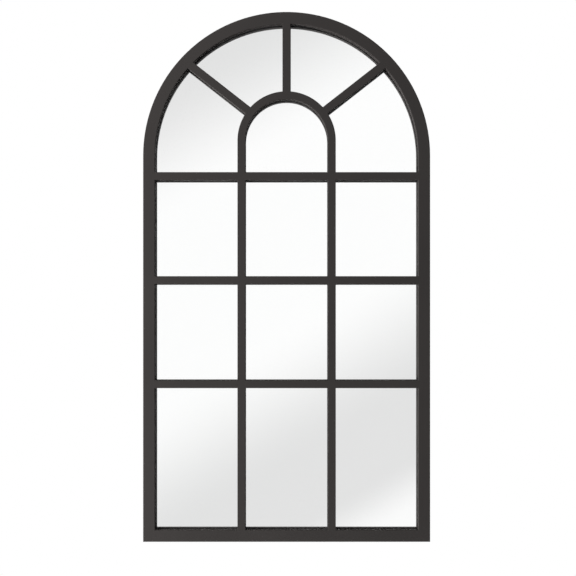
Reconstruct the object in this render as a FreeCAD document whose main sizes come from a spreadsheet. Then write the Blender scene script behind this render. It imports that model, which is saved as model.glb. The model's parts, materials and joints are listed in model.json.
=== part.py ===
import FreeCAD, Part
import math
import os
import re

import Sketcher
from FreeCAD import Vector

# An arched window mirror that hangs on two wall hooks.
# X runs to the right, Z up and Y back to the wall; the looking side faces -Y.
# The origin lies on the wall, midway between the two points where the hooks hold the rings.
# Every piece is drawn with z = 0 at the bottom edge of the frame and then lowered by hangHeight.

doc = FreeCAD.newDocument("archedWindowMirror")
sheet = doc.addObject("Spreadsheet::Sheet", "Sizes")

# Driving dimensions, millimetres and degrees.
sizes = {
    # outer frame: a rolled box section with a rebate at its back for the glass
    "frameWidth": 650.0,
    "frameHeight": 1200.0,
    "tubeFace": 27.0,
    "tubeDepth": 28.0,
    "tubeWall": 1.5,
    "tubeEdge": 1.5,
    "rebateWidth": 6.0,
    # glazing bars: a smaller box section, flush with the front of the frame
    "barFace": 18.0,
    "barDepth": 18.0,
    "barWall": 1.2,
    "barEdge": 1.0,
    "innerArchRise": 34.0,
    "upperBarDrop": 80.8,
    "barPitch": 235.6,
    "spokeAngle": 38.0,
    # glazing
    "tapeThickness": 1.0,
    "tapeProud": 0.5,
    "glassThickness": 4.0,
    "glassGap": 1.0,
    "backingThickness": 3.0,
    # clips that hold the glass and its backing in the rebate
    "clipWidth": 14.0,
    "clipThickness": 1.0,
    "clipFoot": 14.5,
    "clipLap": 9.0,
    "clipStep": 0.4,
    "clipScrewInset": 8.5,
    "stileClipHeight": 120.0,
    "clipBelowStrap": 63.0,
    "bottomClipOffset": 150.0,
    "archClipAngle": 22.5,
    "archClipStepAngle": 45.0,
    "plateCorner": 3.0,
    # screws with a pan head and a cross recess
    "screwShank": 3.8,
    "screwLength": 9.0,
    "screwTip": 2.5,
    "screwHead": 7.0,
    "screwHeadHeight": 2.0,
    "screwHeadEdge": 1.2,
    "recessSpan": 3.6,
    "recessWidth": 0.9,
    "recessDepth": 1.2,
    "holeClearance": 0.2,
    # hangers: a strap with a curled knuckle, and a D-shaped wire ring that swings in it
    "hangerInset": 12.5,
    "knuckleDrop": 46.0,
    "strapWidth": 12.0,
    "strapThickness": 1.0,
    "strapLength": 46.0,
    "strapScrewDrop": 25.0,
    "strapScrewPitch": 13.0,
    "curlGap": 0.5,
    "ringWire": 2.8,
    "ringPlay": 0.3,
    "ringSidePlay": 0.4,
    "ringBend": 3.0,
    "ringLeg": 6.0,
    # rubber bumpers that stand the frame off the wall
    "bumperHeight": 6.0,
    "bumperDiameter": 16.0,
    "bumperEdge": 1.5,
    "bumperInset": 11.0,
    "bumperLow": 60.0,
    "bumperAngle": 45.0,
}

# Sizes that follow from the driving ones.
followers = {
    "halfWidth": "frameWidth / 2",
    "springHeight": "frameHeight - frameWidth / 2",
    "innerArchHeight": "springHeight + innerArchRise",
    "frontPlane": "-(bumperHeight + tubeDepth)",
    "ledgePlane": "frontPlane + barDepth",
    "backPlane": "-bumperHeight",
    "tubeBack": "tubeFace - rebateWidth",
    "tapeFace": "barFace + 2 * tapeProud",
    "tapeBack": "ledgePlane + tapeThickness",
    "glassBack": "tapeBack + glassThickness",
    "boardBack": "glassBack + backingThickness",
    "glassInset": "tubeBack + glassGap",
    "paneWidth": "(frameWidth - 2 * tubeFace - 2 * barFace) / 3",
    "mullionOffset": "(paneWidth + barFace) / 2",
    "knuckleInner": "ringWire / 2 + ringPlay",
    "knuckleOuter": "knuckleInner + strapThickness",
    "hingePlane": "backPlane + knuckleOuter",
    "ringBar": "strapWidth / 2 + ringSidePlay",
    "ringHalf": "ringBar + ringBend",
    "knuckleHeight": "springHeight - knuckleDrop",
    "hangHeight": "knuckleHeight + ringLeg + ringHalf - ringWire / 2",
    "hangerOffset": "halfWidth - hangerInset",
    "stileClipPitch": "(knuckleHeight - strapLength - clipBelowStrap - stileClipHeight) / 2",
    "rebateRadius": "halfWidth - tubeBack",
    "bumperRadius": "halfWidth - bumperInset",
}

for row, (alias, value) in enumerate(sizes.items(), start=1):
    sheet.set(f"A{row}", str(value))
    sheet.setAlias(f"A{row}", alias)
for row, (alias, formula) in enumerate(followers.items(), start=1):
    sheet.set(f"B{row}", f"={formula}")
    sheet.setAlias(f"B{row}", alias)
doc.recompute()

aliases = set(sizes) | set(followers)


def cells(formula):
    """The formula with each size's name turned into its cell in the sheet."""

    def cell(word):
        return f"Sizes.{word[0]}" if word[0] in aliases else word[0]

    return re.sub(r"[A-Za-z]+", cell, formula)


def number(formula):
    return float(sheet.evalExpression(cells(formula)))


def bind(thing, **formulas):
    for name, formula in formulas.items():
        thing.setExpression(name, cells(formula))


def place(thing, x="0", z="0", turn="0", y="0"):
    """Moves a piece to x, y, z and turns it about an axis parallel to Y, then lowers it by hangHeight."""
    thing.Placement = FreeCAD.Placement(Vector(), FreeCAD.Rotation(Vector(0, 1, 0), 1))
    thing.setExpression("Placement.Base.x", cells(x))
    thing.setExpression("Placement.Base.y", cells(y))
    thing.setExpression("Placement.Base.z", cells(f"{z} - hangHeight"))
    thing.setExpression("Placement.Rotation.Angle", cells(turn))


def newBody(label):
    body = doc.addObject("PartDesign::Body", label)
    body.Label = label
    return body


def newSketch(body, role, offset="0"):
    """A sketch on one of the body's origin planes, moved along the plane's normal."""
    sketch = body.newObject("Sketcher::SketchObject", f"{body.Name}Sketch")
    sketch.AttachmentSupport = [(next(f for f in body.Origin.OriginFeatures if f.Role == role), "")]
    sketch.MapMode = "FlatFace"
    sketch.setExpression("AttachmentOffset.Base.z", cells(offset))
    return sketch


def dimension(sketch, kind, places, formula):
    index = sketch.addConstraint(Sketcher.Constraint(kind, *places, number(formula)))
    sketch.setExpression(f"Constraints[{index}]", cells(formula))


def pin(sketch, curve, point, x, y):
    """Dimensions a point of a curve from the sketch's origin."""
    dimension(sketch, "DistanceX", (-1, 1, curve, point), x)
    dimension(sketch, "DistanceY", (-1, 1, curve, point), y)


def drawOutline(sketch, corners):
    """A closed run of straight lines through the corners."""
    first = sketch.GeometryCount
    points = [Vector(number(x), number(y), 0) for x, y in corners]
    for here, following in zip(points, points[1:] + points[:1]):
        sketch.addGeometry(Part.LineSegment(here, following), False)
    for step in range(len(points)):
        after = first + (step + 1) % len(points)
        sketch.addConstraint(Sketcher.Constraint("Coincident", first + step, 2, after, 1))
    for step, (x, y) in enumerate(corners):
        pin(sketch, first + step, 1, x, y)


def drawCircle(sketch, x, y, radius):
    outline = Part.Circle(Vector(number(x), number(y), 0), Vector(0, 0, 1), number(radius))
    circle = sketch.addGeometry(outline, False)
    pin(sketch, circle, 3, x, y)
    dimension(sketch, "Radius", (circle,), radius)


def drawArch(sketch, half, bottom, spring):
    """A doorway outline: a flat bottom, two upright sides and a half-round head."""
    first = sketch.GeometryCount
    reach, low, high = number(half), number(bottom), number(spring)
    corners = [Vector(x, z, 0) for x, z in ((-reach, high), (-reach, low), (reach, low), (reach, high))]
    for here, following in zip(corners, corners[1:]):
        sketch.addGeometry(Part.LineSegment(here, following), False)
    crown = Part.Circle(Vector(0, high, 0), Vector(0, 0, 1), reach)
    sketch.addGeometry(Part.ArcOfCircle(crown, 0, math.pi), False)
    for before, after in ((0, 1), (1, 2), (2, 3), (3, 0)):
        sketch.addConstraint(Sketcher.Constraint("Coincident", first + before, 2, first + after, 1))
    pin(sketch, first + 3, 3, "0", spring)
    for curve, x, y in ((0, f"-({half})", spring), (1, f"-({half})", bottom), (2, half, bottom)):
        pin(sketch, first + curve, 1, x, y)
    dimension(sketch, "DistanceY", (-1, 1, first + 3, 1), spring)


def pad(body, sketch, length, symmetric=False):
    feature = body.newObject("PartDesign::Pad", f"{body.Name}Pad")
    feature.Profile = sketch
    feature.SideType = "Symmetric" if symmetric else "One side"
    bind(feature, Length=length)
    return feature


def pocket(body, sketch, length=None, flipped=False):
    """Cuts right through both ways, or to a length."""
    feature = body.newObject("PartDesign::Pocket", f"{body.Name}Pocket")
    feature.Profile = sketch
    if length is None:
        feature.Type = "ThroughAll"
        feature.SideType = "Symmetric"
    else:
        feature.Reversed = flipped
        bind(feature, Length=length)
    return feature


def revolve(body, sketch, angle=360, flipped=False):
    feature = body.newObject("PartDesign::Revolution", f"{body.Name}Revolution")
    feature.Profile = sketch
    feature.ReferenceAxis = (sketch, ["V_Axis"])
    feature.Angle = angle
    feature.Reversed = flipped
    return feature


def roundEdges(body, base, radius, points):
    """Rounds the edges of a feature that run through the given points."""
    doc.recompute()
    chosen = []
    for formulas in points:
        spot = Part.Vertex(*[number(formula) for formula in formulas])
        for index, edge in enumerate(base.Shape.Edges, start=1):
            if edge.distToShape(spot)[0] < 1e-4 and f"Edge{index}" not in chosen:
                chosen.append(f"Edge{index}")
    feature = body.newObject("PartDesign::Fillet", f"{body.Name}Fillet")
    feature.Base = (base, chosen)
    bind(feature, Radius=radius)
    return feature


def cut(label, base, tool):
    result = doc.addObject("Part::Cut", label)
    result.Label = label
    result.Base = base
    result.Tool = tool
    return result


def group(label, pieces):
    result = doc.addObject("Part::Compound", label)
    result.Label = label
    result.Links = pieces
    return result


def copies(master, seats):
    """Linked copies of a piece, one at each seat."""
    links = []
    for seat in seats:
        link = doc.addObject("App::Link", f"{master.Name}Copy")
        link.LinkedObject = master
        place(link, **seat)
        links.append(link)
    return links


# ---- where the clips, the bumpers and the hangers sit

sides = {"left": "-1", "right": "1"}
stileClipHeights = [f"stileClipHeight + {step} * stileClipPitch" for step in range(3)]
archClipAngles = [f"(archClipAngle + {step} * archClipStepAngle)" for step in range(4)]


def onArch(radius, angle):
    """A place on a circle about the centre of the arched head."""
    return {"x": f"{radius} * cos({angle})", "z": f"springHeight + {radius} * sin({angle})"}


def shifted(seat, inset):
    """The seat moved back over the frame by an inset."""
    turn = seat["turn"]
    return {"x": f"{seat['x']} - {inset} * cos({turn})", "z": f"{seat['z']} + {inset} * sin({turn})"}


clipSeats = [{"x": "-rebateRadius", "z": height, "turn": "0"} for height in stileClipHeights]
clipSeats += [{"x": "rebateRadius", "z": height, "turn": "180"} for height in stileClipHeights]
for sign in sides.values():
    clipSeats.append({"x": f"{sign} * bottomClipOffset", "z": "tubeBack", "turn": "-90"})
clipSeats += [{**onArch("rebateRadius", angle), "turn": f"180 - {angle}"} for angle in archClipAngles]
clipFace = "backPlane + clipThickness"
clipScrewSeats = [{**shifted(seat, "clipScrewInset"), "y": clipFace} for seat in clipSeats]

strapScrewDrops = [f"strapScrewDrop + {step} * strapScrewPitch" for step in range(2)]
hangerSeats = {side: {"x": f"{sign} * hangerOffset", "z": "knuckleHeight"} for side, sign in sides.items()}
strapScrewSeats = [
    {"x": seat["x"], "z": f"knuckleHeight - ({drop})", "y": "backPlane + strapThickness"}
    for seat in hangerSeats.values()
    for drop in strapScrewDrops
]

bumperSeats = [{"x": f"{sign} * bumperRadius", "z": "bumperLow"} for sign in sides.values()]
bumperSeats += [onArch("bumperRadius", angle) for angle in ("bumperAngle", "(180 - bumperAngle)")]

# ---- screws, and the holes that they need

screwHole = "(screwShank + holeClearance) / 2"


def makeScrew():
    """A pan-head screw along Y, with the underside of its head at y = 0."""
    body = newBody("screw")
    sketch = newSketch(body, "XY_Plane")
    shank, head = "screwShank / 2", "screwHead / 2"
    profile = [("0", "-screwLength"), (shank, "screwTip - screwLength"), (shank, "0"), (head, "0")]
    drawOutline(sketch, profile + [(head, "screwHeadHeight"), ("0", "screwHeadHeight")])
    turned = revolve(body, sketch)
    roundEdges(body, turned, "screwHeadEdge", [(head, "screwHeadHeight", "0")])
    arm, side = "recessSpan / 2", "recessWidth / 2"
    quarter = [(arm, side), (side, side), (side, arm)]
    cross = [(x, z) for x, z in quarter]
    cross += [(f"-{x}", z) for x, z in reversed(quarter)]
    cross += [(f"-{x}", f"-{z}") for x, z in quarter]
    cross += [(x, f"-{z}") for x, z in reversed(quarter)]
    recess = newSketch(body, "XZ_Plane", "-screwHeadHeight")
    drawOutline(recess, cross)
    pocket(body, recess, "recessDepth", flipped=True)
    return body


def makeDrill():
    """The drilled hole for a screw, from under its head to its tip."""
    body = newBody("drill")
    sketch = newSketch(body, "XZ_Plane")
    drawCircle(sketch, "0", "0", screwHole)
    pad(body, sketch, "screwLength")
    return body


screw = makeScrew()
group("clip_screws", copies(screw, clipScrewSeats))
group("hanger_screws", copies(screw, strapScrewSeats))
drillHoles = group("drillHoles", copies(makeDrill(), clipScrewSeats + strapScrewSeats))

# ---- outer frame

# The section, as inset from the frame's outer side and depth behind its front.
sectionCorners = [
    ("0", "0"),
    ("tubeFace", "0"),
    ("tubeFace", "barDepth"),
    ("tubeBack", "barDepth"),
    ("tubeBack", "tubeDepth"),
    ("0", "tubeDepth"),
]
sectionHollow = [
    ("tubeWall", "tubeWall"),
    ("tubeFace - tubeWall", "tubeWall"),
    ("tubeFace - tubeWall", "barDepth - tubeWall"),
    ("tubeBack - tubeWall", "barDepth - tubeWall"),
    ("tubeBack - tubeWall", "tubeDepth - tubeWall"),
    ("tubeWall", "tubeDepth - tubeWall"),
]
roundedCorners = [corner for corner in sectionCorners if corner != ("tubeBack", "barDepth")]


def makeStile(label, sign, hollow):
    """An upright of the frame, mitred at its foot."""
    body = newBody(label)

    def across(corner):
        return f"{sign} * (halfWidth - ({corner[0]}))", f"frontPlane + {corner[1]}"

    sketch = newSketch(body, "XY_Plane")
    drawOutline(sketch, [across(corner) for corner in sectionCorners])
    if hollow:
        drawOutline(sketch, [across(corner) for corner in sectionHollow])
    upright = pad(body, sketch, "springHeight")
    edges = [(*across(corner), "springHeight / 2") for corner in roundedCorners]
    roundEdges(body, upright, "tubeEdge", edges)
    mitre = newSketch(body, "XZ_Plane")
    inner = f"{sign} * (halfWidth - tubeFace)"
    drawOutline(mitre, [(f"{sign} * halfWidth", "0"), (inner, "0"), (inner, "tubeFace")])
    pocket(body, mitre)
    place(body)
    return body


def makeRail(label, hollow):
    """The bottom of the frame, mitred at both ends."""
    body = newBody(label)
    sketch = newSketch(body, "YZ_Plane")
    drawOutline(sketch, [(f"frontPlane + {depth}", inset) for inset, depth in sectionCorners])
    if hollow:
        drawOutline(sketch, [(f"frontPlane + {depth}", inset) for inset, depth in sectionHollow])
    rail = pad(body, sketch, "frameWidth", symmetric=True)
    edges = [("0", f"frontPlane + {depth}", inset) for inset, depth in roundedCorners]
    roundEdges(body, rail, "tubeEdge", edges)
    for sign in sides.values():
        mitre = newSketch(body, "XZ_Plane")
        outer, inner = f"{sign} * halfWidth", f"{sign} * (halfWidth - tubeFace)"
        drawOutline(mitre, [(outer, "0"), (inner, "tubeFace"), (outer, "tubeFace")])
        pocket(body, mitre)
    place(body)
    return body


def makeHead(label, hollow):
    """The half-round head of the frame."""
    body = newBody(label)

    def radial(corners):
        return [(f"halfWidth - ({inset})", f"frontPlane + {depth}") for inset, depth in corners]

    sketch = newSketch(body, "XY_Plane")
    drawOutline(sketch, radial(sectionCorners))
    if hollow:
        drawOutline(sketch, radial(sectionHollow))
    bend = revolve(body, sketch, 180, flipped=True)
    roundEdges(body, bend, "tubeEdge", [("0", y, x) for x, y in radial(roundedCorners)])
    place(body, z="springHeight")
    return body


def makeFrame(suffix, hollow):
    pieces = {}
    for side, sign in sides.items():
        pieces[f"{side}_stile"] = makeStile(f"{side}_stile{suffix}", sign, hollow)
    pieces["bottom_rail"] = makeRail(f"bottom_rail{suffix}", hollow)
    pieces["arch_head"] = makeHead(f"arch_head{suffix}", hollow)
    return pieces


for name, tube in makeFrame("_tube", hollow=True).items():
    cut(name, tube, drillHoles)
envelopes = makeFrame("_envelope", hollow=False)

# ---- glazing bars

tapeSection = {"face": "tapeFace", "front": "ledgePlane", "depth": "tapeThickness"}
barSection = {"face": "barFace", "front": "frontPlane", "depth": "barDepth", "edge": "barEdge"}
hollowBar = {**barSection, "wall": "barWall"}


def crossSection(face, front, depth, wall="0", centre="0"):
    """The corners of a bar's section; a wall draws them in to the hollow."""
    low, high = f"{centre} - {face} / 2 + {wall}", f"{centre} + {face} / 2 - {wall}"
    near, far = f"{front} + {wall}", f"{front} + {depth} - {wall}"
    return [(low, near), (high, near), (high, far), (low, far)]


def makeBar(label, x, z, turn, length, face, front, depth, edge=None, wall=None):
    """A straight bar that starts at x, z and runs up before it is turned."""
    body = newBody(label)
    sketch = newSketch(body, "XY_Plane")
    corners = crossSection(face, front, depth)
    drawOutline(sketch, corners)
    if wall:
        drawOutline(sketch, crossSection(face, front, depth, wall))
    straight = pad(body, sketch, length)
    if edge:
        roundEdges(body, straight, edge, [(*corner, f"({length}) / 2") for corner in corners])
    place(body, x=x, z=z, turn=turn)
    return body


def makeInnerArch(label, face, front, depth, edge=None, wall=None):
    """The small arch that joins the two mullions."""
    body = newBody(label)
    sketch = newSketch(body, "XY_Plane")
    corners = crossSection(face, front, depth, centre="mullionOffset")
    drawOutline(sketch, corners)
    if wall:
        drawOutline(sketch, crossSection(face, front, depth, wall, centre="mullionOffset"))
    bend = revolve(body, sketch, 180, flipped=True)
    if edge:
        roundEdges(body, bend, edge, [("0", y, x) for x, y in corners])
    place(body, z="innerArchHeight")
    return body


# Each bar starts and ends in the middle of the pieces that it meets, and is coped to their faces.
frameMiddle = "(halfWidth - tubeFace / 2)"
bars = {}
for side, sign in sides.items():
    bars[f"{side}_mullion"] = {
        "x": f"{sign} * mullionOffset",
        "z": "tubeFace / 2",
        "turn": "0",
        "length": "innerArchHeight - tubeFace / 2",
        "meets": ["bottom_rail"],
    }
for step, level in enumerate(("upper", "middle", "lower")):
    height = f"innerArchHeight - upperBarDrop - {step} * barPitch"
    spans = {
        "left": (f"-{frameMiddle}", f"{frameMiddle} - mullionOffset", ["left_stile", "left_mullion"]),
        "centre": ("-mullionOffset", "2 * mullionOffset", ["left_mullion", "right_mullion"]),
        "right": ("mullionOffset", f"{frameMiddle} - mullionOffset", ["right_mullion", "right_stile"]),
    }
    for span, (start, length, meets) in spans.items():
        bar = {"x": start, "z": height, "turn": "90", "length": length, "meets": meets}
        bars[f"{level}_crossbar_{span}"] = bar
for name, angle in {"left": "(180 - spokeAngle)", "centre": "90", "right": "spokeAngle"}.items():
    reach = f"sqrt(pow({frameMiddle}; 2) - pow(innerArchRise * cos({angle}); 2))"
    bars[f"{name}_spoke"] = {
        "x": f"mullionOffset * cos({angle})",
        "z": f"innerArchHeight + mullionOffset * sin({angle})",
        "turn": f"90 - {angle}",
        "length": f"{reach} - innerArchRise * sin({angle}) - mullionOffset",
        "meets": ["inner_arch", "arch_head"],
    }


def run(bar):
    return {key: bar[key] for key in ("x", "z", "turn", "length")}


envelopes["inner_arch"] = makeInnerArch("inner_arch_envelope", **barSection)
for mullion in ("left_mullion", "right_mullion"):
    envelopes[mullion] = makeBar(f"{mullion}_envelope", **run(bars[mullion]), **barSection)

makeInnerArch("inner_arch", **hollowBar)
for name, bar in bars.items():
    piece = makeBar(f"{name}_tube", **run(bar), **hollowBar)
    for step, neighbour in enumerate(bar["meets"], start=1):
        label = name if step == len(bar["meets"]) else f"{name}_cope"
        piece = cut(label, piece, envelopes[neighbour])

# ---- glazing: tape, mirror and backing


def makeSheet(label, back, thickness, opening=False):
    """A sheet with the outline of the rebate; an opening leaves only a border round its edge."""
    body = newBody(label)
    sketch = newSketch(body, "XZ_Plane", f"-({back})")
    drawArch(sketch, "halfWidth - glassInset", "glassInset", "springHeight")
    if opening:
        drawArch(sketch, "halfWidth - tubeFace - tapeProud", "tubeFace + tapeProud", "springHeight")
    pad(body, sketch, thickness)
    place(body)
    return body


strips = [makeSheet("tape_border", "tapeBack", "tapeThickness", opening=True)]
strips.append(makeInnerArch("tape_inner_arch", **tapeSection))
strips += [makeBar(f"tape_{name}", **run(bar), **tapeSection) for name, bar in bars.items()]
lattice = doc.addObject("Part::MultiFuse", "tape_lattice")
lattice.Shapes = strips
tape = doc.addObject("Part::Common", "glazing_tape")
tape.Base = makeSheet("tape_outline", "tapeBack", "tapeThickness")
tape.Tool = lattice

makeSheet("mirror_glass", "glassBack", "glassThickness")
makeSheet("backing_board", "boardBack", "backingThickness")

# ---- retaining clips


def makeClip():
    """A Z-shaped clip: x = 0 is the rebate's wall, the foot lies on the frame and the lap on the board."""
    body = newBody("clip")
    sketch = newSketch(body, "XY_Plane")
    top, bottom = "backPlane + clipThickness", "boardBack + clipThickness"
    drawOutline(
        sketch,
        [
            ("-clipFoot", "backPlane"),
            ("clipStep", "backPlane"),
            ("clipStep", "boardBack"),
            ("clipLap", "boardBack"),
            ("clipLap", bottom),
            ("clipStep + clipThickness", bottom),
            ("clipStep + clipThickness", top),
            ("-clipFoot", top),
        ],
    )
    strip = pad(body, sketch, "clipWidth", symmetric=True)
    middle = "clipThickness / 2"
    ends = (("-clipFoot", f"backPlane + {middle}"), ("clipLap", f"boardBack + {middle}"))
    corners = [(*end, f"{sign} * clipWidth / 2") for end in ends for sign in (-1, 1)]
    roundEdges(body, strip, "plateCorner", corners)
    hole = newSketch(body, "XZ_Plane")
    drawCircle(hole, "-clipScrewInset", "0", screwHole)
    pocket(body, hole)
    return body


group("retaining_clips", copies(makeClip(), clipSeats))

# ---- hangers


def makeStrap(label, seat):
    """A flat strap whose upper end curls round the straight side of the ring; z = 0 is the hinge."""
    body = newBody(label)
    curl = newSketch(body, "YZ_Plane")
    for radius in ("knuckleOuter", "knuckleInner"):
        drawCircle(curl, "hingePlane", "0", radius)
    pad(body, curl, "strapWidth", symmetric=True)
    near, far = "backPlane", "backPlane + strapThickness"
    flat = newSketch(body, "YZ_Plane")
    drawOutline(flat, [(near, "0"), (near, "-strapLength"), (far, "-strapLength"), (far, "0")])
    plate = pad(body, flat, "strapWidth", symmetric=True)
    middle = "backPlane + strapThickness / 2"
    corners = [(f"{sign} * strapWidth / 2", middle, "-strapLength") for sign in (-1, 1)]
    roundEdges(body, plate, "plateCorner", corners)
    mouth = newSketch(body, "YZ_Plane")
    lip, foot = f"{far} + curlGap", "-knuckleOuter"
    drawOutline(mouth, [(far, "0"), (far, foot), (lip, foot), (lip, "0")])
    pocket(body, mouth)
    holes = newSketch(body, "XZ_Plane")
    for drop in strapScrewDrops:
        drawCircle(holes, "0", f"-({drop})", screwHole)
    pocket(body, holes)
    place(body, **seat)
    return body


def makeRing(label, seat):
    """A D-shaped wire ring, hanging down from its straight side."""
    body = newBody(label)
    path = newSketch(body, "XZ_Plane")
    bar, half, bend, leg = (number(name) for name in ("ringBar", "ringHalf", "ringBend", "ringLeg"))
    stops = [Vector(0, 0, 0), Vector(bar, 0, 0), Vector(half, -bend, 0), Vector(half, -leg, 0)]
    stops += [Vector(-half, -leg, 0), Vector(-half, -bend, 0), Vector(-bar, 0, 0)]
    quarter = math.pi / 2

    def arc(x, y, radius, start, end):
        return Part.ArcOfCircle(Part.Circle(Vector(x, y, 0), Vector(0, 0, 1), radius), start, end)

    curves = [
        Part.LineSegment(stops[0], stops[1]),
        arc(bar, -bend, bend, 0, quarter),
        Part.LineSegment(stops[2], stops[3]),
        arc(0, -leg, half, 2 * quarter, 4 * quarter),
        Part.LineSegment(stops[4], stops[5]),
        arc(-bar, -bend, bend, quarter, 2 * quarter),
        Part.LineSegment(stops[6], stops[0]),
    ]
    for curve in curves:
        path.addGeometry(curve, False)
    joins = [(0, 2, 1, 2), (1, 1, 2, 1), (2, 2, 3, 2), (3, 1, 4, 1)]
    joins += [(4, 2, 5, 2), (5, 1, 6, 1), (6, 2, 0, 1)]
    for join in joins:
        path.addConstraint(Sketcher.Constraint("Coincident", *join))
    pin(path, 0, 1, "0", "0")
    for curve, point, sign in ((0, 2, ""), (6, 1, "-")):
        pin(path, curve, point, f"{sign}ringBar", "0")
    for curve, sign in ((2, ""), (4, "-")):
        upper, lower = (1, 2) if curve == 2 else (2, 1)
        pin(path, curve, upper, f"{sign}ringHalf", "-ringBend")
        pin(path, curve, lower, f"{sign}ringHalf", "-ringLeg")
    for curve, height in ((1, "-ringBend"), (3, "-ringLeg"), (5, "-ringBend")):
        dimension(path, "DistanceY", (-1, 1, curve, 3), height)
    wire = newSketch(body, "YZ_Plane")
    drawCircle(wire, "0", "0", "ringWire / 2")
    sweep = body.newObject("PartDesign::AdditivePipe", f"{label}Pipe")
    sweep.Profile = wire
    sweep.Spine = path
    place(body, y="hingePlane", **seat)
    return body


for side, seat in hangerSeats.items():
    makeStrap(f"{side}_hanger_strap", seat)
    makeRing(f"{side}_hanger_ring", seat)

# ---- bumpers


def makeBumper():
    """A round rubber foot between the frame's back and the wall."""
    body = newBody("bumper")
    sketch = newSketch(body, "XY_Plane")
    radius = "bumperDiameter / 2"
    drawOutline(sketch, [("0", "backPlane"), (radius, "backPlane"), (radius, "0"), ("0", "0")])
    turned = revolve(body, sketch)
    roundEdges(body, turned, "bumperEdge", [(radius, "0", "0")])
    return body


group("wall_bumpers", copies(makeBumper(), bumperSeats))

# ---- checks and files

nodes = ["left_stile", "right_stile", "bottom_rail", "arch_head", "inner_arch", *bars]
nodes += ["glazing_tape", "mirror_glass", "backing_board", "retaining_clips", "clip_screws"]
nodes += [f"{side}_hanger_{piece}" for side in sides for piece in ("strap", "ring")]
nodes += ["hanger_screws", "wall_bumpers"]

doc.recompute()
failed = [thing.Label for thing in doc.Objects if {"Invalid", "Error"} & set(thing.State)]
if failed:
    raise RuntimeError(f"failed: {failed}")
pieces = {name: doc.getObjectsByLabel(name)[0].Shape for name in nodes}
for name, shape in pieces.items():
    if shape.isNull() or not shape.isValid() or not shape.Solids:
        raise RuntimeError(f"{name} has no valid solid")

os.makedirs("parts", exist_ok=True)
for name, shape in pieces.items():
    shape.exportStep(f"parts/{name}.step")
    box = shape.BoundBox
    print(f"{name:26s} solids {len(shape.Solids):2d}  volume {shape.Volume:10.1f}  {box}")
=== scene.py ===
import json
import math
import random

import bmesh
import bpy
from mathutils import Matrix, Vector


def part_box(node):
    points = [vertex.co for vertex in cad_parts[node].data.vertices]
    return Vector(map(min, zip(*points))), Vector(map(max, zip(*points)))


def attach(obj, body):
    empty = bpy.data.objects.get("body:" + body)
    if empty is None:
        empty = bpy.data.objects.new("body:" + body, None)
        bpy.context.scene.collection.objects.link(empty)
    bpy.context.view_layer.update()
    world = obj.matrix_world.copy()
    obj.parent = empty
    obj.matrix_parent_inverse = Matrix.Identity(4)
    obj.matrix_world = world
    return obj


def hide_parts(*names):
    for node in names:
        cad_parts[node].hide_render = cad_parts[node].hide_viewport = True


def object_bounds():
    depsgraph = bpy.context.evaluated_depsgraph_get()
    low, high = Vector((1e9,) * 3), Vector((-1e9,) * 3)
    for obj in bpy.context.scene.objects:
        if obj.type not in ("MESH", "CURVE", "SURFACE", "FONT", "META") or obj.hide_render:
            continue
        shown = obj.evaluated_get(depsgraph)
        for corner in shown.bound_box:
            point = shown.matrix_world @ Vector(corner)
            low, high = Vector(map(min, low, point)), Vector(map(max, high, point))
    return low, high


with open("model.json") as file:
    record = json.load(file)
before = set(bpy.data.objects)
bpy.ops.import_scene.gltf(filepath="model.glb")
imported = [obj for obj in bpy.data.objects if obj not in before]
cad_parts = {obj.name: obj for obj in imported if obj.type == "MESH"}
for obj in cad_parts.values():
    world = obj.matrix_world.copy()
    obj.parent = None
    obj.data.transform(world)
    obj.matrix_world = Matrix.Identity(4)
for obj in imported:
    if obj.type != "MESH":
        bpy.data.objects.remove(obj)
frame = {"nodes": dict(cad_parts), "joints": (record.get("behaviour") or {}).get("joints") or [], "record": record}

# An arched window mirror, seen from the front: +X right, +Z up, +Y back to the wall. Metres.

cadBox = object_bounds()
cadNodes = frame["nodes"]
millimetre = 0.001
mergeWithin = 0.001 * millimetre  # points nearer than this become one
noiseSpan = (0.3, 0.7)  # where nearly all of a noise's values lie
dice = random.Random(17)
print("scene: the packed model is in")


# Node trees are written as sums: a wire is a socket that takes part in them.


class Wire:
    def __init__(self, board, socket):
        self.board = board
        self.socket = socket

    def output(self, name):
        return Wire(self.board, self.socket.node.outputs[name])

    def maths(self, operation, first, second):
        return self.board.node("ShaderNodeMath", {"operation": operation}, {0: first, 1: second})

    def __add__(self, other):
        return self.maths("ADD", self, other)

    def __radd__(self, other):
        return self.maths("ADD", other, self)

    def __sub__(self, other):
        return self.maths("SUBTRACT", self, other)

    def __rsub__(self, other):
        return self.maths("SUBTRACT", other, self)

    def __mul__(self, other):
        return self.maths("MULTIPLY", self, other)

    def __rmul__(self, other):
        return self.maths("MULTIPLY", other, self)

    def __truediv__(self, other):
        return self.maths("DIVIDE", self, other)

    def __rtruediv__(self, other):
        return self.maths("DIVIDE", other, self)


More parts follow.
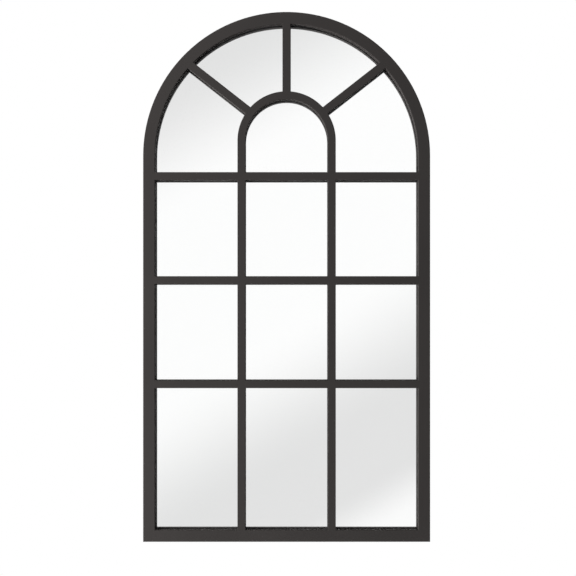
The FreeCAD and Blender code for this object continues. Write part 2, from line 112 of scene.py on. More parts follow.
class Board:
    # the nodes of one material or of the world
    def __init__(self, owner):
        owner.use_nodes = True
        self.tree = owner.node_tree
        self.tree.nodes.clear()

    def node(self, kind, settings=None, sockets=None):
        made = self.tree.nodes.new(kind)
        for name, value in (settings or {}).items():
            if name == "stops":
                self.setStops(made.color_ramp, value)
            else:
                setattr(made, name, value)
        for key, value in (sockets or {}).items():
            if isinstance(value, Wire):
                self.tree.links.new(value.socket, made.inputs[key])
            else:
                made.inputs[key].default_value = value
        return Wire(self, made.outputs[0]) if made.outputs else None

    def setStops(self, ramp, stops):
        # a ramp that turns softly at its stops
        ramp.interpolation = "EASE"
        while len(ramp.elements) < len(stops):
            ramp.elements.new(1.0)
        for element, (place, colour) in zip(ramp.elements, stops):
            element.position = place
            element.color = (*colour, 1.0)

    def noise(self, where, scale, detail=2.0, roughness=0.5):
        sockets = {"Vector": where, "Scale": scale, "Detail": detail, "Roughness": roughness}
        return self.node("ShaderNodeTexNoise", None, sockets)

    def spread(self, value, span, ends=(0.0, 1.0)):
        # takes the values of a span softly to its two ends
        low, high = span
        start, end = ends
        sockets = {"Value": value, "From Min": low, "From Max": high, "To Min": start, "To Max": end}
        return self.node("ShaderNodeMapRange", {"interpolation_type": "SMOOTHSTEP"}, sockets)

    def tint(self, share, first, second):
        # a colour between two others
        pair = [colour if isinstance(colour, Wire) else (*colour, 1.0) for colour in (first, second)]
        made = self.node("ShaderNodeMix", {"data_type": "RGBA"}, {0: share, 6: pair[0], 7: pair[1]})
        return Wire(self, made.socket.node.outputs[2])

    def warp(self, where, scale, reach):
        # places pushed about by a noise, each way by up to half the reach
        push = self.noise(where, scale, 1.0).output("Color")
        push = self.node("ShaderNodeVectorMath", {"operation": "SUBTRACT"}, {0: push, 1: (0.5, 0.5, 0.5)})
        sockets = {0: push, 1: (reach, reach, reach), 2: where}
        return self.node("ShaderNodeVectorMath", {"operation": "MULTIPLY_ADD"}, sockets)

    def bump(self, height, depth, normal=None):
        sockets = {"Height": height, "Distance": depth, "Strength": 1.0}
        if normal:
            sockets["Normal"] = normal
        return self.node("ShaderNodeBump", None, sockets)

    def finish(self, sockets):
        shader = self.node("ShaderNodeBsdfPrincipled", None, sockets)
        self.node("ShaderNodeOutputMaterial", None, {"Surface": shader})


def newFinish(name):
    material = bpy.data.materials.new(name)
    board = Board(material)
    where = board.node("ShaderNodeTexCoord").output("Object")
    return material, board, where


# Satin powder coat: a faint orange peel, and a finer grit on it.
paint = {
    "thin": (0.0390, 0.0353, 0.0341),
    "thick": (0.0440, 0.0400, 0.0387),
    "cloud": 5.0,
    "peel": 620.0,
    "peelShare": 0.2,
    "peelDepth": 0.00003,
    "grit": 2600.0,
    "gritDepth": 0.00001,
    "gloss": (0.56, 0.68),
    "specular": 0.12,
}


def powderCoat():
    material, board, where = newFinish("powder_coat")
    cloud = board.noise(where, paint["cloud"], 4.0)
    peel = board.noise(where, paint["peel"], 1.0)
    grit = board.noise(where, paint["grit"], 2.0)
    thickness = cloud * (1 - paint["peelShare"]) + peel * paint["peelShare"]
    peeled = board.bump(peel, paint["peelDepth"])
    board.finish({
        "Base Color": board.tint(board.spread(thickness, noiseSpan), paint["thin"], paint["thick"]),
        "Roughness": board.spread((cloud + grit) * 0.5, noiseSpan, paint["gloss"]),
        "Specular IOR Level": paint["specular"],
        "Normal": board.bump(grit, paint["gritDepth"], peeled),
    })
    return material


silver = {
    "clean": (0.996, 0.998, 0.997),
    "dull": (0.990, 0.993, 0.992),
    "cloud": 2.5,
    "patches": (0.35, 0.65),
    "roughness": 0.0,
}


def silverCoat():
    material, board, where = newFinish("silver_coat")
    share = board.spread(board.noise(where, silver["cloud"]), silver["patches"])
    colour = board.tint(share, silver["clean"], silver["dull"])
    board.finish({"Base Color": colour, "Metallic": 1.0, "Roughness": silver["roughness"]})
    return material


glass = {
    "clear": (1.0, 1.0, 1.0),
    "tinted": (0.996, 1.0, 0.998),
    "cloud": 1.5,
    "patches": (0.35, 0.65),
    "bend": 1.52,
}


def floatGlass():
    material, board, where = newFinish("float_glass")
    share = board.spread(board.noise(where, glass["cloud"]), glass["patches"])
    colour = board.tint(share, glass["clear"], glass["tinted"])
    board.finish({"Base Color": colour, "Roughness": 0.0, "IOR": glass["bend"], "Transmission Weight": 1.0})
    return material


foam = {
    "dark": (0.026, 0.025, 0.025),
    "pale": (0.046, 0.045, 0.045),
    "cell": 1900.0,
    "cellSpan": (0.1, 0.6),
    "gloss": (0.85, 0.97),
    "depth": 0.00006,
}


def cellFoam():
    material, board, where = newFinish("cell_foam")
    sockets = {"Vector": where, "Scale": foam["cell"]}
    cells = board.node("ShaderNodeTexVoronoi", {"feature": "F1"}, sockets)
    board.finish({
        "Base Color": board.tint(board.spread(cells, foam["cellSpan"]), foam["dark"], foam["pale"]),
        "Roughness": board.spread(cells, (0.0, 1.0), foam["gloss"]),
        "Normal": board.bump(cells, foam["depth"]),
    })
    return material


# Matted fibres that lie in all directions, in patches, with a few dark specks.
hardboard = {
    "dark": (0.215, 0.134, 0.075),
    "pale": (0.345, 0.232, 0.142),
    "patches": (0.36, 0.64),
    "fibre": 1500.0,
    "fibreStretch": 0.2,
    "fibreShare": 0.6,
    "swirl": 170.0,
    "swirlReach": 0.005,
    "mottle": 55.0,
    "cloud": 6.0,
    "speck": (0.140, 0.084, 0.047),
    "speckScale": 750.0,
    "speckSpan": (0.68, 0.76),
    "speckShare": 0.5,
    "gloss": (0.72, 0.90),
    "depth": 0.00003,
}


def fibreboard():
    material, board, where = newFinish("fibreboard")
    cloud = board.noise(where, hardboard["cloud"], 4.0)
    mottle = board.noise(where, hardboard["mottle"], 3.0)
    swirled = board.warp(where, hardboard["swirl"], hardboard["swirlReach"])
    flat = hardboard["fibreStretch"]
    upright = board.node("ShaderNodeMapping", None, {"Vector": swirled, "Scale": (1.0, 1.0, flat)})
    level = board.node("ShaderNodeMapping", None, {"Vector": swirled, "Scale": (flat, 1.0, 1.0)})
    fibres = (board.noise(upright, hardboard["fibre"]) + board.noise(level, hardboard["fibre"])) * 0.5
    patches = (cloud + mottle) * 0.5
    share = fibres * hardboard["fibreShare"] + patches * (1 - hardboard["fibreShare"])
    ground = board.tint(board.spread(share, hardboard["patches"]), hardboard["dark"], hardboard["pale"])
    specks = board.spread(board.noise(swirled, hardboard["speckScale"], 1.0), hardboard["speckSpan"])
    board.finish({
        "Base Color": board.tint(specks * hardboard["speckShare"], ground, hardboard["speck"]),
        "Roughness": board.spread(fibres, noiseSpan, hardboard["gloss"]),
        "Normal": board.bump(fibres, hardboard["depth"]),
    })
    return material


# Zinc plate under a thin yellowish film, which shows more on the flat parts than on the wire.
zinc = {
    "bright": (0.60, 0.61, 0.61),
    "film": (0.54, 0.52, 0.45),
    "plateFilm": 0.8,
    "wireFilm": 0.35,
    "cloud": 60.0,
    "patches": (0.35, 0.70),
    "grain": 2400.0,
    "gloss": (0.22, 0.40),
    "depth": 0.000006,
}


def zincPlate(name, film):
    material, board, where = newFinish(name)
    cloud = board.noise(where, zinc["cloud"], 3.0)
    grain = board.noise(where, zinc["grain"], 2.0)
    share = board.spread(cloud, zinc["patches"]) * film
    board.finish({
        "Base Color": board.tint(share, zinc["bright"], zinc["film"]),
        "Metallic": 1.0,
        "Roughness": board.spread((cloud + grain) * 0.5, noiseSpan, zinc["gloss"]),
        "Normal": board.bump(grain, zinc["depth"]),
    })
    return material


rubber = {
    "dark": (0.012, 0.012, 0.012),
    "bloom": (0.034, 0.034, 0.035),
    "cloud": 220.0,
    "patches": (0.35, 0.70),
    "pores": 1980.0,
    "gloss": (0.55, 0.78),
    "depth": 0.00002,
}


def mouldedRubber():
    material, board, where = newFinish("moulded_rubber")
    cloud = board.noise(where, rubber["cloud"], 4.0)
    board.finish({
        "Base Color": board.tint(board.spread(cloud, rubber["patches"]), rubber["dark"], rubber["bloom"]),
        "Roughness": board.spread(cloud, noiseSpan, rubber["gloss"]),
        "Normal": board.bump(board.noise(where, rubber["pores"]), rubber["depth"]),
    })
    return material


finishes = {
    "painted_frame": powderCoat(),
    "mirror": silverCoat(),
    "foam_tape": cellFoam(),
    "fibreboard": fibreboard(),
    "zinc_steel": zincPlate("zinc_plate", zinc["plateFilm"]),
    "ring_wire": zincPlate("zinc_wire", zinc["wireFilm"]),
    "bumper_rubber": mouldedRubber(),
}
print("scene: finishes are mixed")

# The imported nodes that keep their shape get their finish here.
for part in frame["record"]["subparts"]:
    node = cadNodes[part["node"]]
    node.data.materials.clear()
    node.data.materials.append(finishes[part["material_slot"]])


def newPiece(name, mesh, slot, nodes=(), body="frame", material=None):
    piece = bpy.data.objects.new(name, mesh)
    bpy.context.scene.collection.objects.link(piece)
    mesh.materials.clear()
    mesh.materials.append(material or finishes[slot])
    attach(piece, body)
    if nodes:
        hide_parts(*nodes)
    return piece


def shaded(build, name, crease=35.0):
    # a mesh that shades smooth, but for edges sharper than the crease
    mesh = bpy.data.meshes.new(name)
    build.to_mesh(mesh)
    build.free()
    mesh.polygons.foreach_set("use_smooth", [True] * len(mesh.polygons))
    mesh.set_sharp_from_angle(angle=math.radians(crease))
    return mesh


def skinRings(build, rings):
    # walls from ring to ring, and a cap at each end
    for near, far in zip(rings, rings[1:]):
        for step in range(len(near)):
            after = (step + 1) % len(near)
            build.faces.new((near[step], near[after], far[after], far[step]))
    build.faces.new(rings[0])
    build.faces.new(rings[-1])
    bmesh.ops.recalc_face_normals(build, faces=build.faces)


def turned(profile, steps):
    # a solid turned about Z from half of its section
    build = bmesh.new()
    verts = [build.verts.new((x, 0.0, z)) for x, z in profile]
    edges = [build.edges.new(pair) for pair in zip(verts, verts[1:])]
    spin = {"cent": (0, 0, 0), "axis": (0, 0, 1), "angle": 2 * math.pi, "steps": steps}
    bmesh.ops.spin(build, geom=verts + edges, use_duplicate=False, **spin)
    bmesh.ops.remove_doubles(build, verts=build.verts, dist=mergeWithin)
    bmesh.ops.recalc_face_normals(build, faces=build.faces)
    return build


def gatherPlaces(name, reach):
    # the middles of a node's separate solids, each within reach of its first point
    groups = []
    for vertex in cadNodes[name].data.vertices:
        for group in groups:
            if (group[0] - vertex.co).length < reach:
                group.append(vertex.co)
                break
        else:
            groups.append([vertex.co])
    middles = []
    for group in groups:
        sides = [(min(p[axis] for p in group), max(p[axis] for p in group)) for axis in range(3)]
        middles.append(Vector([sum(side) / 2 for side in sides]))
    return middles


def repeated(build, seats):
    # one mesh with a copy of the build at each seat
    template = bpy.data.meshes.new("template")
    build.to_mesh(template)
    build.free()
    joined = bmesh.new()
    for seat in seats:
        stamp = template.copy()
        stamp.transform(seat)
        joined.from_mesh(stamp)
        bpy.data.meshes.remove(stamp)
    bpy.data.meshes.remove(template)
    return joined


def standing(spot, turn, depth):
    # a seat for a piece drawn in XY with its depth along Z: X turns in the plane of the wall, Z runs back
    upright = Matrix(((1, 0, 0, 0), (0, 0, 1, 0), (0, -1, 0, 0), (0, 0, 0, 1)))
    spin = Matrix.Rotation(-turn, 4, "Y")
    return Matrix.Translation((spot.x, depth, spot.z)) @ spin @ upright


glassLow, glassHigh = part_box("mirror_glass")
headLow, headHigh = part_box("arch_head")
springHeight = headLow.z
frameBack = headHigh.y


# The mirror is clear glass with ground edges and a silver coat on its back.
pane = {
    "arris": 0.6 * millimetre,
    "coat": 0.08 * millimetre,
    "coatDepth": 0.06 * millimetre,
    "coatInset": 1.5 * millimetre,
    "steps": 96,
}


def archOutline(half, bottom):
    points = [(-half, bottom), (half, bottom)]
    for step in range(pane["steps"] + 1):
        angle = math.pi * step / pane["steps"]
        points.append((half * math.cos(angle), springHeight + half * math.sin(angle)))
    return points


def archSheet(name, inset, sections):
    # sections are pairs of how far the outline is drawn in and its depth
    build = bmesh.new()
    rings = []
    for draw, depth in sections:
        outline = archOutline(glassHigh.x - inset - draw, glassLow.z + inset + draw)
        rings.append([build.verts.new((x, depth, z)) for x, z in outline])
    skinRings(build, rings)
    return shaded(build, name)


def makeMirror():
    front, back, arris = glassLow.y, glassHigh.y, pane["arris"]
    sections = [(arris, front), (0.0, front + arris), (0.0, back - arris), (arris, back)]
    slab = archSheet("mirror_slab", 0.0, sections)
    newPiece("mirror_slab", slab, "mirror", ["mirror_glass"], material=floatGlass())
    coatBack = back - pane["coatDepth"]
    sections = [(0.0, coatBack - pane["coat"]), (0.0, coatBack)]
    newPiece("mirror_silver", archSheet("mirror_silver", pane["coatInset"], sections), "mirror")


makeMirror()
print("scene: the mirror is cut and silvered")


def roundedPlate(name, outline, holes, thickness, soften):
    # a flat plate in XY, from a closed outline and its holes, with softened edges
    curve = bpy.data.curves.new(name, "CURVE")
    curve.dimensions = "2D"
    curve.fill_mode = "BOTH"
    curve.extrude = thickness / 2 - soften
    curve.bevel_depth = soften
    curve.bevel_resolution = 2
    curve.offset = -soften
    for points in [outline, *holes]:
        spline = curve.splines.new("POLY")
        spline.points.add(len(points) - 1)
        for point, (x, y) in zip(spline.points, points):
            point.co = (x, y, 0.0, 1.0)
        spline.use_cyclic_u = True
    carrier = bpy.data.objects.new(name, curve)
    build = bmesh.new()
    build.from_mesh(bpy.data.meshes.new_from_object(carrier))
    bmesh.ops.remove_doubles(build, verts=build.verts, dist=soften / 50)
    bpy.data.objects.remove(carrier)
    return build


def circlePoints(x, y, radius, steps=28):
    turns = [2 * math.pi * step / steps for step in range(steps)]
    return [(x + radius * math.cos(turn), y + radius * math.sin(turn)) for turn in turns]


def stripOutline(length, width, startCorner, endCorner, steps=6):
    # a strip along +X from 0 to length, its four corners rounded
    corners = [
        (startCorner, width / 2 - startCorner, startCorner, 90),
        (startCorner, startCorner - width / 2, startCorner, 180),
        (length - endCorner, endCorner - width / 2, endCorner, 270),
        (length - endCorner, width / 2 - endCorner, endCorner, 0),
    ]
    points = []
    for x, y, radius, first in corners:
        for step in range(steps + 1):
            turn = math.radians(first + 90 * step / steps)
            points.append((x + radius * math.cos(turn), y + radius * math.sin(turn)))
    return points


def sliceAlong(build, places):
    cut = {"plane_no": (1, 0, 0), "dist": mergeWithin / 10}
    for place in places:
        everything = [*build.verts, *build.edges, *build.faces]
        bmesh.ops.bisect_plane(build, geom=everything, plane_co=(place, 0, 0), **cut)


def bendAlong(build, runs, start, slices):
    # bends a flat strip through straight runs (length, 0) and arcs (length, turn) in the plane of X and Z
    marks, reached = [], 0.0
    for length, turn in runs:
        marks += [reached + length * step / slices for step in range(slices + 1)] if turn else [reached]
        reached += length
    sliceAlong(build, marks)
    for vertex in build.verts:
        along, side, lift = vertex.co
        place, angle, left = Vector(start), 0.0, along
        for index, (length, turn) in enumerate(runs):
            last = index == len(runs) - 1
            step = left if last else min(left, length)
            if turn:
                radius = length / turn
                change = step / radius
                centre = place + Vector((-math.sin(angle), math.cos(angle))) * radius
                angle += change
                place = centre - Vector((-math.sin(angle), math.cos(angle))) * radius
            else:
                place = place + Vector((math.cos(angle), math.sin(angle))) * step
            left -= step
            if left <= 0:
                break
        spot = place + Vector((-math.sin(angle), math.cos(angle))) * lift
        vertex.co = (spot.x, side, spot.y)


clip = {
    "width": 14.0 * millimetre,
    "thickness": 1.0 * millimetre,
    "soften": 0.14 * millimetre,
    "corner": 3.0 * millimetre,
    "foot": 14.4 * millimetre,
    "bend": 1.0 * millimetre,
    "bendSlices": 10,
    "lap": 7.1 * millimetre,
    "hole": 2.05 * millimetre,
    "holePlace": 6.0 * millimetre,
    "screwReach": 14.0 * millimetre,
    "crease": 40.0,
}


def clipTurn(spot):
    # the clip points to the glass: sideways from the stiles, up from the rail, inwards from the head
    if spot.z > springHeight:
        return math.atan2(springHeight - spot.z, -spot.x)
    if spot.x < glassLow.x:
        return 0.0
    return math.pi if spot.x > glassHigh.x else math.pi / 2


def makeClips():
    quarter = clip["bend"] * math.pi / 2
    length = clip["foot"] + 2 * quarter + clip["lap"]
    outline = stripOutline(length, clip["width"], clip["corner"], clip["corner"])
    hole = circlePoints(clip["holePlace"], 0.0, clip["hole"])
    build = roundedPlate("clip", outline, [hole], clip["thickness"], clip["soften"])
    runs = [(clip["foot"], 0.0), (quarter, -math.pi / 2), (quarter, math.pi / 2), (clip["lap"], 0.0)]
    bendAlong(build, runs, (-clip["holePlace"], clip["thickness"] / 2), clip["bendSlices"])
    spots = gatherPlaces("clip_screws", clip["screwReach"])
    seats = [standing(spot, clipTurn(spot), frameBack) for spot in spots]
    mesh = shaded(repeated(build, seats), "clips", clip["crease"])
    newPiece("z_clips", mesh, "zinc_steel", ["retaining_clips"])


strap = {
    "width": 12.0 * millimetre,
    "thickness": 1.0 * millimetre,
    "soften": 0.14 * millimetre,
    "corner": 3.0 * millimetre,
    "curlCorner": 0.4 * millimetre,
    "curl": 2.2 * millimetre,
    "curlTurn": math.radians(295.0),
    "curlSlices": 40,
    "hole": 2.05 * millimetre,
    "screwReach": 9.0 * millimetre,
    "crease": 40.0,
}


def makeStrap(side):
    low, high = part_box(f"{side}_hanger_strap")
    hinge = next(joint["pos_m"] for joint in frame["joints"] if joint["name"] == f"{side}_ring_hinge")
    straight = hinge[2] - low.z
    curled = strap["curl"] * strap["curlTurn"]
    outline = stripOutline(straight + curled, strap["width"], strap["corner"], strap["curlCorner"])
    screws = gatherPlaces("hanger_screws", strap["screwReach"])
    spots = [spot for spot in screws if spot.x * hinge[0] > 0]
    holes = [circlePoints(spot.z - low.z, 0.0, strap["hole"]) for spot in spots]
    build = roundedPlate("strap", outline, holes, strap["thickness"], strap["soften"])
    runs = [(straight, 0.0), (curled, strap["curlTurn"])]
    bendAlong(build, runs, (0.0, strap["thickness"] / 2), strap["curlSlices"])
    build.transform(standing(Vector((hinge[0], 0, low.z)), math.pi / 2, frameBack))
    mesh = shaded(build, f"{side}_strap", strap["crease"])
    newPiece(f"{side}_strap_hanger", mesh, "zinc_steel", [f"{side}_hanger_strap"])


makeClips()
for side in ("left", "right"):
    makeStrap(side)
print("scene: clips and straps are bent")


# Pan-head screws with a cross recess.
screw = {
    "shank": 1.9 * millimetre,
    "length": 9.0 * millimetre,
    "tip": 2.5 * millimetre,
    "head": 3.5 * millimetre,
    "chamfer": 0.15 * millimetre,
    "rim": 0.75 * millimetre,
    "height": 2.0 * millimetre,
    "domePower": 0.72,
    "domeSteps": 10,
    "arm": 1.85 * millimetre,
    "armFoot": 0.75 * millimetre,
    "armFlare": 1.25,
    "slot": 0.50 * millimetre,
    "slotFoot": 0.36 * millimetre,
    "slotFlare": 1.06,
    "mouth": 0.1 * millimetre,
    "recess": 1.25 * millimetre,
    "toolTop": 3.0 * millimetre,
    "steps": 48,
    "crease": 32.0,
}


def crossTool():
    # a tapered cross, wide above the head and narrow at its foot
    build = bmesh.new()
    rings = []
    for arm, slot, depth in (
        (screw["arm"] * screw["armFlare"], screw["slot"] * screw["slotFlare"], screw["toolTop"]),
        (screw["arm"], screw["slot"], screw["height"] - screw["mouth"]),
        (screw["armFoot"], screw["slotFoot"], screw["height"] - screw["recess"]),
    ):
        points = []
        for quarter in range(4):
            turn = Matrix.Rotation(quarter * math.pi / 2, 2)
            points += [turn @ Vector(corner) for corner in ((slot, -slot), (arm, -slot), (arm, slot))]
        rings.append([build.verts.new((x, y, depth)) for x, y in points])
    skinRings(build, rings)
    return build


def screwProfile():
    # half of the screw's section from its tip to the crown of its head
    shank, head, rim, chamfer = (screw[name] for name in ("shank", "head", "rim", "chamfer"))
    points = [(0.0, -screw["length"]), (shank, screw["tip"] - screw["length"]), (shank, 0.0)]
    points += [(head - chamfer, 0.0), (head, chamfer), (head, rim)]
    dome = screw["height"] - rim
    for step in range(1, screw["domeSteps"]):
        turn = math.pi / 2 * step / screw["domeSteps"]
        points.append((head * math.cos(turn) ** screw["domePower"], rim + dome * math.sin(turn)))
    return points + [(0.0, rim + dome)]


def cutAway(build, tool, name):
    # the build less the tool
    objects = []
    for part in (build, tool):
        mesh = bpy.data.meshes.new(name)
        part.to_mesh(mesh)
        part.free()
        objects.append(bpy.data.objects.new(name, mesh))
        bpy.context.scene.collection.objects.link(objects[-1])
    whole, knife = objects
    modifier = whole.modifiers.new("cut", "BOOLEAN")
    modifier.operation = "DIFFERENCE"
    modifier.solver = "EXACT"
    modifier.object = knife
    evaluated = whole.evaluated_get(bpy.context.evaluated_depsgraph_get())
    result = bmesh.new()
    result.from_mesh(bpy.data.meshes.new_from_object(evaluated))
    for made in objects:
        bpy.data.objects.remove(made)
    return result


def driveScrews(node, held):
    # screws with their heads on the plate that they hold, each turned as it stopped
    build = cutAway(turned(screwProfile(), screw["steps"]), crossTool(), node)
    headSeat = frameBack + held["thickness"]
    spots = gatherPlaces(node, held["screwReach"])
    seats = [standing(spot, dice.uniform(0, math.pi / 2), headSeat) for spot in spots]
    mesh = shaded(repeated(build, seats), node, screw["crease"])
    newPiece(node.replace("screws", "pan_screws"), mesh, "zinc_steel", [node])


driveScrews("clip_screws", clip)
driveScrews("hanger_screws", strap)
print("scene: screws are driven")


# Where the frame's pieces meet at the back, a bead of weld shows through the paint.
weld = {
    "width": 4.4 * millimetre,
    "height": 0.9 * millimetre,
    "sink": 0.4 * millimetre,
    "edge": 1.3 * millimetre,
    "ripple": 1.6 * millimetre,
    "lag": 1.3 * millimetre,
    "dip": 0.55,
    "unevenness": 0.16,
    "bluntness": 0.02,
    "lip": 0.0001,
    "stepsInRipple": 7,
    "stepsAcross": 12,
    "crease": 50.0,
}


def addBead(build, start, end):
    # a rippled ridge on the back of the frame, from start to end in X and Z
    run = end - start
    along, across = run.normalized(), Vector((-run.y, run.x)).normalized()
    ripples = round(run.length / weld["ripple"])
    count = ripples * weld["stepsInRipple"]
    widths = [1 - dice.uniform(0, weld["unevenness"]) for ripple in range(ripples + 2)]
    blunt = weld["bluntness"]
    rings = []
    for step in range(count + 1):
        place = run.length * step / count
        fromEnd = min(place, run.length - place) / (weld["width"] / 2)
        swell = math.sqrt(1 - (1 - min(fromEnd, 1.0)) ** 2) * (1 - blunt) + blunt
        ripple, share = divmod(step / weld["stepsInRipple"], 1)
        swell *= widths[int(ripple)] * (1 - share) + widths[int(ripple) + 1] * share
        points = []
        for strand in range(weld["stepsAcross"] + 1):
            side = 2 * strand / weld["stepsAcross"] - 1
            phase = (place + weld["lag"] * side * side) / weld["ripple"] % 1.0
            crown = math.sqrt(1 + weld["lip"] - side * side) * (1 - weld["dip"] * phase)
            spot = start + along * place + across * side * swell * weld["width"] / 2
            points.append((spot, weld["height"] * swell * crown))
        points += [(points[-1][0], -weld["sink"]), (points[0][0], -weld["sink"])]
        rings.append([build.verts.new((spot.x, frameBack + lift, spot.y)) for spot, lift in points])
    skinRings(build, rings)


def makeWelds():
    # on each side a mitre at the foot and a butt joint at the springing
    build = bmesh.new()
    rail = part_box("bottom_rail")[0].z
    edge = weld["edge"]
    for side in (-1, 1):
        outer, inner = side * (headHigh.x - edge), side * (glassHigh.x + edge)
        addBead(build, Vector((outer, rail + edge)), Vector((inner, glassLow.z - edge)))
        addBead(build, Vector((outer, springHeight)), Vector((inner, springHeight)))
    newPiece("weld_beads", shaded(build, "weld_beads", weld["crease"]), "painted_frame")


makeWelds()
print("scene: welds are laid")


bumper = {
    "radius": 8.0 * millimetre,
    "taper": 0.5 * millimetre,
    "height": 6.0 * millimetre,
    "edge": 1.2 * millimetre,
    "edgeSteps": 8,
    "dish": 3.2 * millimetre,
    "dishDraw": 0.55,
    "dishDepth": 1.0 * millimetre,
    "dishSteps": 8,
    "skirt": 0.5 * millimetre,
    "skirtTop": 0.7 * millimetre,
    "step": 0.12 * millimetre,
    "reach": 17.0 * millimetre,
    "steps": 64,
}


def bumperProfile():
    # half of the bumper's section: a skirt, a tapered wall, a round edge and a shallow dish
    radius, height, edge = bumper["radius"], bumper["height"], bumper["edge"]
    top = radius - bumper["taper"]
    points = [(0.0, 0.0), (radius, 0.0), (radius, bumper["skirt"])]
    points.append((radius - bumper["step"], bumper["skirtTop"]))
    for step in range(bumper["edgeSteps"] + 1):
        turn = math.pi / 2 * step / bumper["edgeSteps"]
        points.append((top - edge + edge * math.cos(turn), height - edge + edge * math.sin(turn)))
    for step in range(bumper["dishSteps"] + 1):
        share = step / bumper["dishSteps"]
        fall = (1 - math.cos(math.pi * share)) / 2
        reach = bumper["dish"] * (1 - bumper["dishDraw"] * share)
        points.append((reach, height - bumper["dishDepth"] * fall))
    return points + [(0.0, height - bumper["dishDepth"])]


def makeBumpers():
    spots = gatherPlaces("wall_bumpers", bumper["reach"])
    seats = [standing(spot, 0.0, frameBack) for spot in spots]
    mesh = shaded(repeated(turned(bumperProfile(), bumper["steps"]), seats), "bumpers")
    newPiece("rubber_bumpers", mesh, "bumper_rubber", ["wall_bumpers"])


makeBumpers()
print("scene: bumpers are on")


studio = {
    "floorDrop": 0.50,
    "floorRadius": 1.5,
    "floorFade": (0.45, 0.97),
    "floorSteps": 128,
    "floor": (0.86, 0.86, 0.85),
    "ambient": (0.045, 0.37),
    "ambientPull": (-0.50, -0.62, 0.60),
    "keyPlace": (-2.10, -0.52, -0.55),
    "keySize": (0.7, 1.8),
    "keyPower": 118.0,
    "topPlace": (-0.75, -0.85, 1.25),
    "topSize": (0.6, 0.6),
    "topPower": 9.0,
    "sidePlace": (1.75, 0.60, -0.10),
    "sideSize": (0.7, 1.6),
    "sidePower": 24.0,
    "backPlace": (0.15, 1.9, 0.5),
    "backSize": (0.9, 0.9),
    "backPower": 26.0,
    "skyPlace": (0.0, -0.45, 2.4),
    "skySize": (2.2, 2.2),
    "skyPower": 150.0,
    "cameraPlace": (0.0, -2.435, -0.3616),
    "cameraLens": 66.3,
    "cameraShift": (0.0024, 0.0716),
}

# The room that the mirror and the metal show. Its tones stand beside the slant of the view, and off
# to the sides it is dimmer, between two cosines to the mirror's axis.
room = {
    "tones": [(-0.30, 0.767), (-0.17, 0.992), (0.0, 0.992), (0.13, 0.767), (0.19, 0.767), (0.245, 0.97)],
    "slant": 0.6,
    "slants": (-0.5, 0.5),
    "sides": (0.25, 0.94),
    "sideTone": 0.40,
    "leastCosine": 0.0001,
}


def roomTone(board, way):
    # what a sharp reflection meets
    split = board.node("ShaderNodeSeparateXYZ", None, {0: way})
    cosine = board.node("ShaderNodeMath", {"operation": "ABSOLUTE"}, {0: split.output("Y")})
    cosine = cosine + room["leastCosine"]
    slant = split.output("X") / cosine * room["slant"] - split.output("Z") / cosine
    low, high = room["slants"]
    stops = [((place - low) / (high - low), (tone,) * 3) for place, tone in room["tones"]]
    ramp = board.node("ShaderNodeValToRGB", {"stops": stops}, {"Fac": (slant - low) / (high - low)})
    strength = board.spread(cosine, room["sides"], (room["sideTone"], 1.0))
    return board.node("ShaderNodeBackground", None, {"Color": ramp, "Strength": strength})


def softLight(board, way):
    # white light from all around, stronger from where it is pulled
    split = board.node("ShaderNodeSeparateXYZ", None, {0: way})
    pull = Vector(studio["ambientPull"]).normalized()
    lean = split.output("X") * pull.x + split.output("Y") * pull.y + split.output("Z") * pull.z
    low, high = studio["ambient"]
    strength = (lean + 1) * ((high - low) / 2) + low
    return board.node("ShaderNodeBackground", None, {"Color": (1.0, 1.0, 1.0, 1.0), "Strength": strength})


def setWorld():
    world = bpy.data.worlds.new("studio")
    bpy.context.scene.world = world
    board = Board(world)
    ray = board.node("ShaderNodeLightPath")
    way = board.node("ShaderNodeTexCoord").output("Generated")
    white = board.node("ShaderNodeBackground", None, {"Color": (1.0, 1.0, 1.0, 1.0), "Strength": 1.0})
    bounces = ray.output("Diffuse Depth")
    matt = board.node("ShaderNodeMath", {"operation": "GREATER_THAN"}, {0: bounces, 1: 0.5})
    sharp = (ray.output("Is Glossy Ray") + ray.output("Is Transmission Ray")) * (1 - matt)
    soft, shown = softLight(board, way), roomTone(board, way)
    lit = board.node("ShaderNodeMixShader", None, {0: sharp, 1: soft, 2: shown})
    everything = board.node("ShaderNodeMixShader", None, {0: ray.output("Is Camera Ray"), 1: lit, 2: white})
    board.node("ShaderNodeOutputWorld", None, {"Surface": everything})


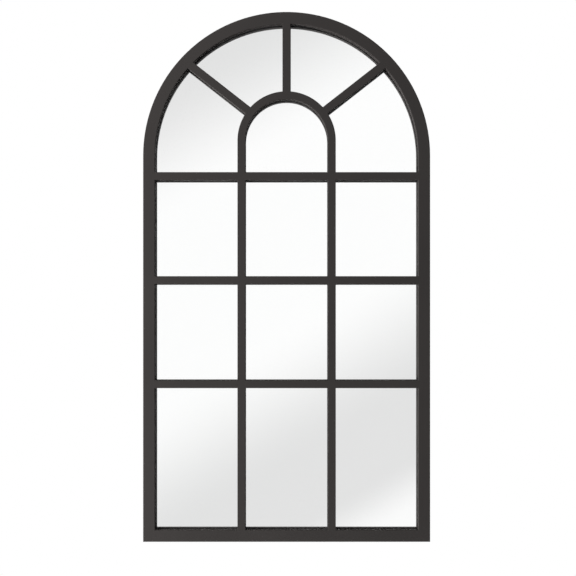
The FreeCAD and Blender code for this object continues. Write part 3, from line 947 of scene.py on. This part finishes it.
def setFloor():
    radius = studio["floorRadius"]
    build = bmesh.new()
    bmesh.ops.create_circle(build, cap_ends=True, segments=studio["floorSteps"], radius=radius)
    mesh = bpy.data.meshes.new("floor")
    build.to_mesh(mesh)
    build.free()
    floor = bpy.data.objects.new("floor", mesh)
    floor.location.z = cadBox[0].z - studio["floorDrop"]
    bpy.context.scene.collection.objects.link(floor)
    material, board, where = newFinish("floor")
    length = board.node("ShaderNodeVectorMath", {"operation": "LENGTH"}, {0: where}).output("Value")
    edge = board.spread(length, [radius * share for share in studio["floorFade"]])
    pale = board.node("ShaderNodeBsdfDiffuse", None, {"Color": (*studio["floor"], 1.0)})
    clear = board.node("ShaderNodeBsdfTransparent")
    mixed = board.node("ShaderNodeMixShader", None, {0: edge, 1: pale, 2: clear})
    board.node("ShaderNodeOutputMaterial", None, {"Surface": mixed})
    mesh.materials.append(material)
    return floor


def setLamp(name, floor, floorShare):
    # floorShare is INCLUDE for a lamp that lights the floor alone, EXCLUDE for one that lights all but it
    light = bpy.data.lights.new(name, "AREA")
    light.energy = studio[name + "Power"]
    light.shape = "RECTANGLE"
    light.size, light.size_y = studio[name + "Size"]
    lamp = bpy.data.objects.new(name, light)
    lamp.visible_glossy = lamp.visible_transmission = False
    lamp.location = studio[name + "Place"]
    aim = (cadBox[0] + cadBox[1]) / 2 - lamp.location
    lamp.rotation_euler = aim.to_track_quat("-Z", "Y").to_euler()
    bpy.context.scene.collection.objects.link(lamp)
    reach = bpy.data.collections.new(name + "_reach")
    reach.objects.link(floor)
    lamp.light_linking.receiver_collection = reach
    reach.collection_objects[0].light_linking.link_state = floorShare


def setCamera():
    lens = bpy.data.cameras.new("camera")
    lens.lens = studio["cameraLens"]
    lens.shift_x, lens.shift_y = studio["cameraShift"]
    camera = bpy.data.objects.new("camera", lens)
    camera.location = studio["cameraPlace"]
    camera.rotation_euler = (math.pi / 2, 0, 0)
    bpy.context.scene.collection.objects.link(camera)
    bpy.context.scene.camera = camera


setWorld()
floor = setFloor()
for lampName in ("key", "top", "side", "back"):
    setLamp(lampName, floor, "EXCLUDE")
setLamp("sky", floor, "INCLUDE")
setCamera()
bpy.context.scene.view_settings.view_transform = "Standard"
print("scene: floor, light and camera are set")
